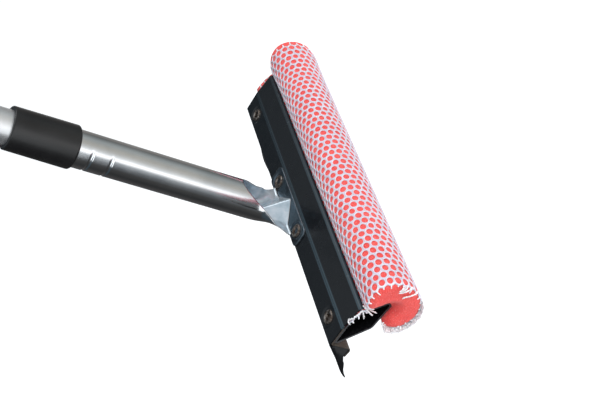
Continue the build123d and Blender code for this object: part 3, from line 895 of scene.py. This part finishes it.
def build_loose_yarns():
    """Cut and pulled yarns at the near end, over the plate's edge and the bar."""
    routes = [
        [(100.5, 19.0, -1.5), (102.8, 18.3, -0.1), (103.6, 17.4, -0.6), (103.4, 16.8, -2.0)],
        [(100.5, 18.6, -1.6), (103.2, 18.6, 0.1), (103.4, 20.3, -0.2), (103.2, 20.8, -1.9),
         (103.6, 22.2, -1.2), (103.3, 23.4, -2.3), (103.6, 25.2, -2.2), (103.0, 27.0, -3.6)],
        [(101.0, 26.8, -3.4), (103.4, 25.6, -4.2), (103.8, 24.0, -5.6), (103.6, 22.4, -6.6)],
        [(101.0, 28.2, -3.2), (103.6, 28.2, -4.6), (104.2, 27.4, -7.0), (103.8, 26.0, -9.0)],
        [(102.0, 28.6, -4.0), (104.2, 29.0, -6.2), (104.4, 28.9, -8.6), (104.2, 28.4, -10.4)],
        [(104.5, 30.2, -2.2), (106.0, 29.2, -4.4), (106.2, 28.2, -6.8), (105.0, 27.0, -8.4)],
        [(107.6, 51.2, -19.5), (109.0, 49.4, -18.6), (109.4, 47.2, -16.0), (109.4, 46.0, -13.9),
         (109.3, 44.6, -13.3)],
        [(107.8, 52.0, -15.0), (109.0, 50.8, -14.0), (109.4, 49.4, -12.6), (109.3, 47.9, -10.8),
         (109.4, 47.3, -9.4)],
        [(108.0, 51.6, -10.0), (109.2, 50.4, -10.2), (109.6, 49.2, -9.4), (109.4, 48.0, -9.8),
         (109.3, 47.8, -11.2)],
        [(107.9, 51.9, -12.4), (109.2, 50.9, -11.9), (109.5, 49.6, -11.0), (109.3, 48.4, -9.0)],
        [(106.0, 24.2, -17.8), (107.5, 24.6, -15.4), (108.6, 26.0, -13.4), (109.0, 27.6, -13.6)],
    ]
    for i, route in enumerate(routes):
        points, faces = yarn_mesh(route, LOOSE_YARN_R, 30 + i)
        add_piece(f"loose_yarn_{i + 1}", to_row(points), faces, "pulled_yarn")


# ---------------------------------------------------------------- neck

NECK_R = 10.2
SCOOP_APEX = 33.0
SCOOP_SLOPE = 0.44
CRIMPS = (110.0, 120.8)
CRIMP_SIDE = -57.0
FOOT_T = 1.1
FOOT_HALF = 29.7
FOOT_BACK = -0.15
FOOT_FRONT = 12.1
DART_TOP = 24.0
DART_TIP_W = 10.6
DART_SLOPE = 0.90
DART_SIDE = 0.767
DART_RIDGE_R = 0.7
DART_EASE = 0.55
FOOT_FILLET = 1.6
NECK_SHEET_T = 0.55
NECK_TOP = 158.0           # inside the collar
SCOOP_FOOT = 18.0          # below this the sheet's width follows the flare
CRIMP_DEPTH = 0.42


def curve_through(stations, keys, column, reach=4.5):
    """Values at stations read from keys (first column is the station), with the corners eased."""
    order = sorted(keys)
    fine = np.arange(order[0][0] - 6, order[-1][0] + 6, 0.1)
    line = np.interp(fine, [k[0] for k in order], [k[column] for k in order])
    size = int(reach / 0.1) | 1
    padded = np.pad(line, size // 2, mode="edge")
    line = np.convolve(padded, np.hanning(size + 2)[1:-1] / np.hanning(size + 2).sum(), mode="valid")
    return np.interp(stations, fine, line)


def neck_sheet():
    """The neck's wall: a round tube that opens at the scoop, flattens and turns into the foot's gusset."""
    flare = [
        (0.4, 0.25, 0.0, 20.6),
        (3.5, -0.20, 0.004, 19.4),
        (5.5, -1.10, 0.012, 17.8),
        (9.3, -3.60, 0.033, 17.0),
        (15.0, -7.10, 0.077, 18.6),
        (18.0, -8.05, 0.093, 19.7),
        (22.0, NECK_W - NECK_R, 1 / NECK_R, 21.7),
        (40.0, NECK_W - NECK_R, 1 / NECK_R, 21.7),
    ]
    tube = [NECK_TOP, 148.0, 140.0, 132.0]
    for crimp in sorted(CRIMPS, reverse=True):
        tube += [crimp + d for d in (2.4, 1.4, 1.0, 0.7, 0.35, 0.0, -0.35, -0.7, -1.0, -1.4, -2.4)]
    tube += [100.0, 90.0, 80.0, 68.0, 56.0, 46.0, 40.0, 36.0, 34.0, SCOOP_APEX]
    opened = [SCOOP_APEX - d for d in (0.03, 0.12, 0.3, 0.6, 1.0, 1.5, 2.1)]
    opened += list(np.arange(SCOOP_APEX - 2.8, FOOT_T, -0.45))
    stations = np.array(tube + opened + [FOOT_T - 0.1])
    bottom = curve_through(stations, flare, 1)
    bend = curve_through(stations, flare, 2)
    half = curve_through(stations, flare, 3)
    columns = 72
    points = []
    for n, w0, k, length in zip(stations, bottom, bend, half):
        cut = (NECK_R - SCOOP_SLOPE * (SCOOP_APEX - n)) / NECK_R
        if n >= SCOOP_APEX:
            length = math.pi * NECK_R
        elif n > SCOOP_FOOT:
            length = NECK_R * math.acos(-cut)
        k = max(k, 1e-4)
        groove = sum(CRIMP_DEPTH * (1 - (n - c) ** 2) ** 0.5 for c in CRIMPS if abs(n - c) < 1.0)
        for j in range(columns + 1):
            u = 2 * j / columns - 1
            a = u * length * k
            x = math.sin(a) / k
            w = w0 + (1 - math.cos(a)) / k
            if groove:
                facing = math.cos(math.atan2(w - NECK_W, x) - math.radians(CRIMP_SIDE))
                bite = groove * smooth(facing, -0.25, 0.35)
                x, w = x * (1 - bite / NECK_R), NECK_W + (w - NECK_W) * (1 - bite / NECK_R)
            if n < DART_TOP:
                into = min(FOOT_FILLET, max(0.0, FOOT_T + FOOT_FILLET - n))
                w += FOOT_FILLET - math.sqrt(FOOT_FILLET ** 2 - into ** 2)
                dart = DART_TIP_W - DART_SLOPE * (n - FOOT_T) - DART_SIDE * math.hypot(x, DART_RIDGE_R)
                ease = DART_EASE * min(1.0, (DART_TOP - n) / 3)
                w = 0.5 * (w + dart + math.hypot(w - dart, ease))
            points.append((x, w, n))
    faces = []
    for i in range(len(stations) - 1):
        a, b = i * (columns + 1), (i + 1) * (columns + 1)
        for j in range(columns):
            faces.append((a + j, b + j, b + j + 1, a + j + 1))
    return points, faces


def foot_plate():
    """The foot's two ears in one rounded plate, dished round each rivet."""
    rows, columns = 34, 150
    middle = (FOOT_FRONT + FOOT_BACK) / 2
    deep = (FOOT_FRONT - FOOT_BACK) / 2
    corner = 3.2
    low, high = node_span("foot_rivet_near")
    rivet_w = low[1] / 2 + high[1] / 2
    rivet_x = (low[0] + high[0]) / 2
    top, under = [], []
    for i in range(columns + 1):
        t = 2 * i / columns - 1
        x = FOOT_HALF * math.copysign(1 - (1 - abs(t)) ** 1.25, t)
        over = max(0.0, abs(x) - (FOOT_HALF - corner))
        reach = deep - corner + math.sqrt(max(0.0, corner ** 2 - over ** 2))
        for j in range(rows + 1):
            v = 2 * j / rows - 1
            v = math.copysign(1 - (1 - abs(v)) ** 1.4, v)
            w = middle + reach * v
            rim = min(reach * (1 - abs(v)), FOOT_HALF - abs(x))
            ring = math.hypot(abs(x) - rivet_x, w - rivet_w)
            dish = 0.38 * (1 - float(smooth(ring, 4.5, 6.3)))
            edge = 0.28 * (1 - min(rim / 0.45, 1.0)) ** 2
            top.append((x, w, FOOT_T - dish - edge))
            under.append((x, w, 0.02))
    points = top + under
    size = len(top)
    faces = []
    for i in range(columns):
        for j in range(rows):
            a, b = i * (rows + 1) + j, (i + 1) * (rows + 1) + j
            faces.append((a, b, b + 1, a + 1))
            faces.append((size + a, size + a + 1, size + b + 1, size + b))
    loop = [i * (rows + 1) for i in range(columns + 1)]
    loop += [columns * (rows + 1) + j for j in range(1, rows + 1)]
    loop += [i * (rows + 1) + rows for i in range(columns - 1, -1, -1)]
    loop += [j for j in range(rows - 1, 0, -1)]
    for a, b in zip(loop, loop[1:] + loop[:1]):
        faces.append((a, size + a, size + b, b))
    return points, faces


def build_neck():
    """The plated steel neck: wall and foot, with bright outsides and a bluish inside."""
    points, faces = neck_sheet()
    wall = add_piece("neck_wall", to_row(points), faces, "neck_chrome", merge=0.00001)
    wall.data.materials.append(MATERIALS["neck_inside"])
    first = wall.data.polygons[0]
    outwards = first.normal.dot(first.center - row_point(0, NECK_W, NECK_TOP)) > 0
    thick = wall.modifiers.new("sheet", "SOLIDIFY")
    thick.thickness = NECK_SHEET_T * MM
    thick.offset = -1.0 if outwards else 1.0
    thick.material_offset = 1
    points, faces = foot_plate()
    foot = add_piece("neck_foot", to_row(points), faces, "foot_plating")
    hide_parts("neck_tube")


# ---------------------------------------------------------------- rubber blade

JAW_ANGLE = 228.5
FAR_BULGE = (1.5, -70.0, 14.0)   # the rubber's bulge near the far end: size, place and width


def blade_point(t, s):
    """A (w, n) point t down the blade and s outwards from its upper face."""
    angle = math.radians(JAW_ANGLE)
    return (t * math.cos(angle) + s * math.sin(angle), t * math.sin(angle) - s * math.cos(angle))


def rounded(points, rounds):
    """A closed outline, evenly stepped, with its corners eased over a number of rounds."""
    line = even_steps(points + points[:1], 0.25)[:-1]
    for _ in range(rounds):
        line = 0.25 * np.roll(line, 1, axis=0) + 0.5 * line + 0.25 * np.roll(line, -1, axis=0)
    return line


def build_blade():
    """The rubber: thick root in the holder's jaw, hooked bulge and thin lip, slightly wavy."""
    outline = [
        blade_point(2.2, -0.85), (0.3, -3.6), (0.3, -12.6), (-4.9, -11.9),
        blade_point(15.6, -3.15), blade_point(17.6, -3.05), blade_point(19.8, -2.35),
        blade_point(22.0, -1.55), blade_point(25.0, -1.05), blade_point(28.55, -0.95),
        blade_point(28.7, -0.45), blade_point(26.0, 0.10), blade_point(22.0, 0.38),
        blade_point(17.0, 0.30), blade_point(12.7, 0.05), blade_point(12.5, -0.85),
    ]
    line = rounded(outline, 3)
    count = len(line)
    angle = math.radians(JAW_ANGLE)
    down = np.array([math.cos(angle), math.sin(angle)])
    out = np.array([math.sin(angle), -math.cos(angle)])
    depth = line @ down
    stations = 150
    size, place, width = FAR_BULGE
    points = []
    for i in range(stations + 1):
        x = -PLATE_HALF + 2 * PLATE_HALF * i / stations
        lip = smooth(depth, 13.0, 28.0)
        wave = 0.28 * math.sin(0.071 * x + 0.6) + 0.16 * math.sin(0.19 * x + 2.0)
        bulge = size * math.exp(-((x - place) / width) ** 2)
        hump = np.exp(-((depth - 17.0) / 4.5) ** 2)
        shift = lip * wave + hump * bulge
        spots = line + out * shift[:, None] + down * (lip * 0.12 * math.sin(0.11 * x))[:, None]
        points += [(x, w, n) for w, n in spots]
    faces = skin(count, stations + 1, inwards=True)
    blade = add_piece("blade_lip", to_row(points), faces, "blade_rubber")
    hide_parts("rubber_blade")


# ---------------------------------------------------------------- stage

def view_matrix():
    """The camera's place and aim, from its heading, pitch and roll."""
    heading, pitch, roll = (math.radians(a) for a in (CAMERA_HEADING, CAMERA_PITCH, CAMERA_ROLL))
    reach = math.cos(pitch)
    forward = Vector((reach * math.cos(heading), reach * math.sin(heading), math.sin(pitch)))
    level = forward.cross(Vector((0, 0, 1))).normalized()
    above = level.cross(forward)
    right = level * math.cos(roll) + above * math.sin(roll)
    up = right.cross(forward)
    place = Vector(CAMERA_OFFSET) + Vector((0, 0, FLANGE_Z))
    matrix = Matrix((right, up, -forward)).transposed().to_4x4()
    matrix.translation = place
    return matrix


def make_camera():
    data = bpy.data.cameras.new("camera")
    data.sensor_fit = "HORIZONTAL"
    data.sensor_width = SENSOR_MM
    data.lens = LENS_MM
    data.clip_start = 0.01
    data.clip_end = 50
    camera = bpy.data.objects.new("camera", data)
    camera.matrix_world = view_matrix()
    bpy.context.scene.collection.objects.link(camera)
    bpy.context.scene.camera = camera


def make_floor():
    mesh = bpy.data.meshes.new("floor")
    half = 6.0
    z = FLANGE_Z - FLOOR_DROP
    corners = [(-half, -half, z), (half, -half, z), (half, half, z), (-half, half, z)]
    mesh.from_pydata(corners, [], [(0, 1, 2, 3)])
    floor = bpy.data.objects.new("floor", mesh)
    bpy.context.scene.collection.objects.link(floor)
    s = Shader("floor_paper")
    tone = s.noise(3, 2.0)
    colour = s.ramp(tone, [(0.3, (0.86, 0.86, 0.86)), (0.7, (0.90, 0.90, 0.90))])
    mesh.materials.append(s.finish(Base_Color=colour, Roughness=0.9, Emission_Color=(1.0, 1.0, 1.0),
                                   Emission_Strength=0.62))
    floor.visible_glossy = False


def add_light(name, direction, distance, size, power, colour=(1, 1, 1), mirrored=True):
    """A square soft light at a direction and distance from the head, aimed at it."""
    data = bpy.data.lights.new(name, "AREA")
    data.shape = "RECTANGLE"
    data.size, data.size_y = size
    data.energy = power
    data.color = colour
    light = bpy.data.objects.new(name, data)
    aim = row_point(0, 15, 0)
    place = aim + Vector(direction).normalized() * distance
    light.location = place
    light.rotation_mode = "QUATERNION"
    light.rotation_quaternion = (aim - place).to_track_quat("-Z", "Y")
    light.visible_camera = False
    light.visible_glossy = mirrored
    bpy.context.scene.collection.objects.link(light)


# Brightness round the studio at knee height, by compass angle in degrees from +X.
# The handle stands along Z, so its plating reflects this ring from top edge to bottom edge.
STUDIO_RING = [
    (-180, (0.16, 0.16, 0.155)),
    (-166, (1.00, 1.00, 1.00)),
    (-150, (0.85, 0.85, 0.84)),
    (-143, (0.14, 0.14, 0.14)),
    (-100, (0.07, 0.068, 0.068)),
    (-63, (0.035, 0.036, 0.037)),
    (-30, (0.062, 0.062, 0.062)),
    (-5, (0.14, 0.15, 0.16)),
    (18, (0.42, 0.45, 0.47)),
    (30, (1.60, 1.60, 1.60)),
    (40, (1.60, 1.60, 1.60)),
    (50, (0.92, 0.94, 0.95)),
    (66, (0.62, 0.62, 0.60)),
    (82, (0.50, 0.49, 0.45)),
    (113, (0.38, 0.41, 0.41)),
    (135, (0.22, 0.24, 0.24)),
    (147, (0.16, 0.16, 0.155)),
    (162, (0.26, 0.25, 0.24)),
]


def make_world():
    """Soft grey room: a ring of pale and dark cloths below eye level, an even ceiling above."""
    world = bpy.data.worlds.new("studio")
    bpy.context.scene.world = world
    world.use_nodes = True
    graph = Graph(world.node_tree)
    coords = graph.add("ShaderNodeTexCoord").outputs["Generated"]
    split = graph.add("ShaderNodeSeparateXYZ", {0: coords}).outputs
    turn = graph.maths("ARCTAN2", split["Y"], split["X"])
    share = graph.span(turn, 0.0, 1.0, -math.pi, math.pi)
    ring = graph.ramp(share, [((angle + 180) / 360, colour) for angle, colour in STUDIO_RING])
    height = graph.span(split["Z"], 0.0, 1.0, -0.12, 0.20)
    ceiling = graph.ramp(split["Z"], [(0.45, (0.05, 0.07, 0.085)), (0.95, (0.85, 0.90, 0.95))])
    background = graph.nodes["Background"]
    graph.links.new(graph.mix(height, ring, ceiling), background.inputs["Color"])
    background.inputs["Strength"].default_value = 1.0


def make_stage():
    make_camera()
    make_floor()
    make_world()
    add_light("key", (0.35, 0.75, 0.60), 1.3, (0.9, 0.9), 6.5, mirrored=False)
    add_light("window", (0.35, 0.75, 0.60), 1.3, (0.9, 0.9), 7.5)
    add_light("fill", (0.9, 0.1, 0.15), 1.4, (1.0, 1.0), 5.0, (0.95, 0.98, 1.0))
    add_light("back", (-0.6, 0.5, 0.7), 1.4, (0.8, 0.8), 3.5)
    bpy.context.scene.view_settings.view_transform = "Standard"


# ---------------------------------------------------------------- build

dress_nodes()
make_stage()
SLEEVE = Sleeve(SleevePath())
CELLS = cell_centres(SLEEVE)
build_foam(SLEEVE, CELLS)
net_sleeve = build_net(SLEEVE, CELLS)
build_tongue()
build_hem(SLEEVE)
build_loose_yarns()
build_neck()
build_blade()
